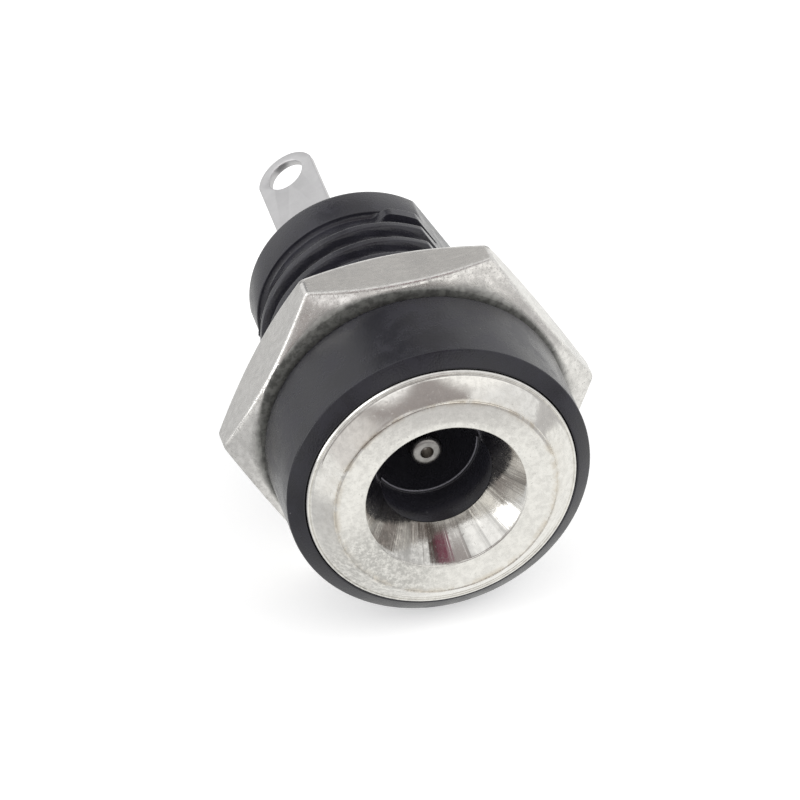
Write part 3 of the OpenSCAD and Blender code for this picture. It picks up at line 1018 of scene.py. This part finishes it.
def build_floor(s):
    """A wide pale floor under the nut: white to the camera, graded in the metal."""
    bm = bmesh.new()
    bmesh.ops.create_grid(bm, x_segments=1, y_segments=1, size=2.0,
                          matrix=Matrix.Translation((0, 0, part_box("hex_nut")[0].z)))
    floor = link_mesh("studio_floor", bm)
    material, tree, shader, place = new_material("Studio floor")
    shader.inputs["Base Color"].default_value = (*s["floor"], 1)
    shader.inputs["Roughness"].default_value = 0.9
    path = tree.nodes.new("ShaderNodeLightPath")
    shader.inputs["Emission Color"].default_value = (1, 1, 1, 1)
    tree.links.new(maths(tree, "MULTIPLY", path.outputs["Is Camera Ray"], 0.5),
                   shader.inputs["Emission Strength"])

    def along(vector, low, high):
        """0 to 1 between two distances in millimetres along a direction on the floor."""
        run = vector_maths(tree, "DOT_PRODUCT", place, vector)
        return ranged(tree, run, low * MM, high * MM)

    tone = blended(tree, along((-1, 0, 0), 2, 12), (1.02, 1.02, 1.0, 1), (0.66, 0.66, 0.66, 1))
    tone = blended(tree, along((0.15, -1, 0), 15.5, 19.5), tone, (0.60, 0.59, 0.59, 1))
    left = maths(tree, "MULTIPLY", along((-1, 0, 0), 14, 22), along((0, -1, 0), 4, 10))
    tone = blended(tree, left, tone, (0.98, 0.98, 0.97, 1))
    dark = maths(tree, "MULTIPLY", along((-0.62, -0.78, 0), 40, 62),
                 along((0.78, -0.62, 0), -20, -8))
    tone = blended(tree, dark, tone, (0.16, 0.14, 0.13, 1))
    mirrored = tree.nodes.new("ShaderNodeEmission")
    tree.links.new(tone, mirrored.inputs["Color"])
    mix = tree.nodes.new("ShaderNodeMixShader")
    tree.links.new(path.outputs["Is Glossy Ray"], mix.inputs[0])
    tree.links.new(shader.outputs[0], mix.inputs[1])
    tree.links.new(mirrored.outputs[0], mix.inputs[2])
    tree.links.new(mix.outputs[0], tree.nodes["Material Output"].inputs["Surface"])
    floor.data.materials.append(material)


# What the metal mirrors: (direction, full within, gone beyond, colour), angles in radians.
# The cards are placed for what the metal shows the main camera. They aren't a plain studio.
CARDS = (
    ((0.16, 0.80, 0.58), 0.15, 0.35, (0.56, 0.55, 0.54)),
    ((-0.10, 0.80, 0.60), 0.06, 0.26, (0.25, 0.25, 0.26)),
    ((-0.20, -0.82, 0.50), 0.75, 0.82, (0.38, 0.35, 0.345)),
    ((-0.20, -0.82, 0.43), 0.10, 0.28, (1.15, 1.14, 1.14)),
    ((-0.78, -0.58, 0.28), 0.12, 0.45, (0.80, 0.78, 0.77)),
    ((-0.42, -0.91, 0.0), 0.08, 0.22, (0.12, 0.09, 0.08)),
    ((0.44, -0.85, 0.30), 0.30, 0.46, (1.15, 1.14, 1.12)),
    ((-0.60, -0.22, 0.77), 0.34, 0.50, (1.05, 1.05, 1.05)),
    ((-0.62, 0.10, 0.75), 0.16, 0.36, (2.4, 2.4, 2.4)),
    ((-1.0, 0.0, 0.10), 0.18, 0.40, (2.8, 2.8, 2.8)),
    ((0.44, -0.18, 0.88), 0.11, 0.17, (0.10, 0.08, 0.07)),
    ((0.25, -0.21, 0.94), 0.06, 0.24, (0.20, 0.07, 0.10)),
)


def build_world():
    """White room for the camera, and a studio with cards for what the metal mirrors."""
    world = bpy.data.worlds.new("Studio")
    bpy.context.scene.world = world
    world.use_nodes = True
    tree = world.node_tree
    tree.nodes.clear()
    direction = tree.nodes.new("ShaderNodeTexCoord").outputs["Generated"]
    path = tree.nodes.new("ShaderNodeLightPath")
    out = tree.nodes.new("ShaderNodeOutputWorld")
    tone = (0.92, 0.92, 0.92, 1)
    for vector, inner, outer, rgb in CARDS:
        facing = vector_maths(tree, "DOT_PRODUCT", direction, Vector(vector).normalized())
        share = ranged(tree, facing, math.cos(outer), math.cos(inner))
        tone = blended(tree, share, tone, (*rgb, 1))

    camera_light = tree.nodes.new("ShaderNodeBackground")
    glossy_light = tree.nodes.new("ShaderNodeBackground")
    soft_light = tree.nodes.new("ShaderNodeBackground")
    tree.links.new(tone, glossy_light.inputs["Color"])
    soft_light.inputs["Color"].default_value = (1, 1, 1, 1)
    soft_light.inputs["Strength"].default_value = 0.65
    camera_light.inputs["Color"].default_value = (1, 1, 1, 1)
    first = tree.nodes.new("ShaderNodeMixShader")
    second = tree.nodes.new("ShaderNodeMixShader")
    tree.links.new(path.outputs["Is Glossy Ray"], first.inputs[0])
    tree.links.new(soft_light.outputs[0], first.inputs[1])
    tree.links.new(glossy_light.outputs[0], first.inputs[2])
    tree.links.new(path.outputs["Is Camera Ray"], second.inputs[0])
    tree.links.new(first.outputs[0], second.inputs[1])
    tree.links.new(camera_light.outputs[0], second.inputs[2])
    tree.links.new(second.outputs[0], out.inputs["Surface"])


def build_studio():
    """The camera, the floor, the world and two lamps."""
    s = settings("jack_studio")
    build_camera(s)
    build_floor(s)
    build_world()
    soft_lamp("Key light", (0.75, -0.35, 0.8), 0.35, (0.25, 0.2), 0.28)
    soft_lamp("Fill light", (-0.8, -0.1, 0.75), 0.35, (0.2, 0.2), 0.135)
    bpy.context.scene.view_settings.view_transform = "Standard"


# ---------------------------------------------------------------- add-on

class JACK_OT_studio(bpy.types.Operator):
    """Set up the camera, the pale floor and the soft light"""
    bl_idname = "jack.studio"
    bl_label = "Studio"

    def execute(self, context):
        build_studio()
        return {"FINISHED"}


class JACK_OT_housing(bpy.types.Operator):
    """Build the black moulding with its wound thread"""
    bl_idname = "jack.housing"
    bl_label = "Moulded Housing"

    def execute(self, context):
        build_housing()
        return {"FINISHED"}


class JACK_OT_face_ring(bpy.types.Operator):
    """Build the turned ring around the mouth"""
    bl_idname = "jack.face_ring"
    bl_label = "Face Ring"

    def execute(self, context):
        build_face_ring()
        return {"FINISHED"}


class JACK_OT_hex_nut(bpy.types.Operator):
    """Build the hexagon nut with both its chamfers"""
    bl_idname = "jack.hex_nut"
    bl_label = "Hex Nut"

    def execute(self, context):
        build_nut()
        return {"FINISHED"}


class JACK_OT_centre_pin(bpy.types.Operator):
    """Build the turned centre pin"""
    bl_idname = "jack.centre_pin"
    bl_label = "Centre Pin"

    def execute(self, context):
        build_centre_pin()
        return {"FINISHED"}


class JACK_OT_solder_lugs(bpy.types.Operator):
    """Build the two stamped contacts with their solder lugs"""
    bl_idname = "jack.solder_lugs"
    bl_label = "Solder Lugs"

    def execute(self, context):
        build_sleeve_contact()
        build_pin_lug()
        return {"FINISHED"}


OPERATORS = (JACK_OT_studio, JACK_OT_housing, JACK_OT_face_ring, JACK_OT_hex_nut,
             JACK_OT_centre_pin, JACK_OT_solder_lugs)


class JACK_PT_panel(bpy.types.Panel):
    """Lists the steps and the settings of the jack"""
    bl_idname = "JACK_PT_panel"
    bl_label = "Barrel Jack"
    bl_space_type = "VIEW_3D"
    bl_region_type = "UI"
    bl_category = "Barrel Jack"

    def draw(self, context):
        for operator in OPERATORS:
            self.layout.operator(operator.bl_idname)
        for name, group in GROUPS.items():
            box = self.layout.box()
            box.label(text=group.bl_rna.description)
            for prop in group.__annotations__:
                box.prop(getattr(context.scene, name), prop)


CLASSES = (*GROUPS.values(), *OPERATORS, JACK_PT_panel)


def register():
    """Adds the classes and gives the scene its groups of settings."""
    for item in CLASSES:
        bpy.utils.register_class(item)
    for name, group in GROUPS.items():
        setattr(bpy.types.Scene, name, PointerProperty(type=group))


def unregister():
    """Takes the groups and the classes away again."""
    for name in GROUPS:
        delattr(bpy.types.Scene, name)
    for item in reversed(CLASSES):
        bpy.utils.unregister_class(item)


def main():
    """Registers the add-on, makes the shader groups, then builds the studio and every piece.
    """
    register()
    plating_group()
    grain_group()
    bpy.ops.jack.studio()
    bpy.ops.jack.housing()
    bpy.ops.jack.face_ring()
    bpy.ops.jack.hex_nut()
    bpy.ops.jack.centre_pin()
    bpy.ops.jack.solder_lugs()


if __name__ == "__main__":
    main()
